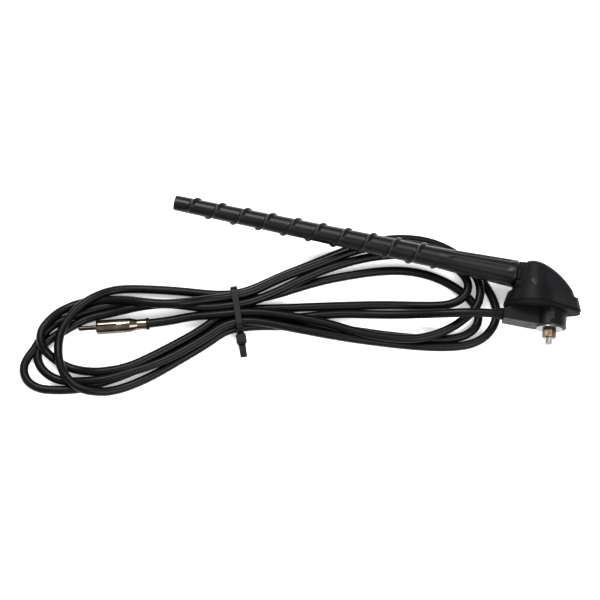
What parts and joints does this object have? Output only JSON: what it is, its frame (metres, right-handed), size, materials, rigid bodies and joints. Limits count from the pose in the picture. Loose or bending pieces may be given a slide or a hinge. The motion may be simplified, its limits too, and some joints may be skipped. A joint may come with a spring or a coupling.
{
  "type": "roof antenna",
  "caption": "Vehicle roof antenna: ribbed rubber mast on a tilting swivel in a drop-shaped base, with a mounting stud and a tied coaxial lead ending in an aerial plug",
  "frame": {"origin": "on the mounting stud's axis, in the base's plane of symmetry, at the roof side of the gasket", "axes": "+X towards the nose of the base, along the vehicle, with the folded mast towards -X; +Y off the roof, the stud points to -Y; +Z is the hinge direction and points up while the antenna lies on its side"},
  "size_m": [0.3719, 0.1432, 0.042],
  "materials": {
    "mast_rubber": "satin black moulded rubber",
    "steel_wire": "drawn steel",
    "brass_part": "turned brass",
    "swivel_plastic": "satin black moulded plastic",
    "zinc_steel": "zinc-plated steel",
    "friction_plastic": "natural acetal",
    "dome_plastic": "satin charcoal moulded plastic",
    "gasket_rubber": "matt black rubber",
    "block_plastic": "satin black moulded plastic",
    "insulator_plastic": "natural polyethylene",
    "yellow_zinc": "yellow-passivated zinc plate",
    "cable_pvc": "satin black PVC",
    "tie_nylon": "black nylon",
    "nickel": "bright nickel plate"
  },
  "bodies": {
    "base": {"pivot_pin": "zinc_steel", "friction_washers": "friction_plastic", "pivot_bracket": "zinc_steel", "dome_cover": "dome_plastic", "cover_rivets": "dome_plastic", "roof_gasket": "gasket_rubber", "mount_stud": "zinc_steel", "insulating_bush": "insulator_plastic", "cable_block": "block_plastic", "earth_claw": "zinc_steel", "ring_terminal": "brass_part", "flat_washer": "zinc_steel", "lock_washer": "yellow_zinc", "hex_nut": "yellow_zinc", "strain_relief": "gasket_rubber", "cable_lead": "cable_pvc", "cable_hank": "cable_pvc", "cable_tail": "cable_pvc", "cable_tie": "tie_nylon", "plug_collar": "block_plastic", "plug_shell": "nickel", "plug_insulator": "insulator_plastic", "plug_pin": "nickel"},
    "mast": {"mast_sheath": "mast_rubber", "mast_rod": "steel_wire", "mast_ferrule": "brass_part", "swivel_knuckle": "swivel_plastic", "swivel_stud": "zinc_steel"}
  },
  "joints": [
    {"name": "mast_tilt", "type": "hinge", "parent": "base", "child": "mast", "pos_m": [-0.0115, 0.0224, 0], "axis": [0, 0, -1], "range_deg": [0, 75]}
  ]
}
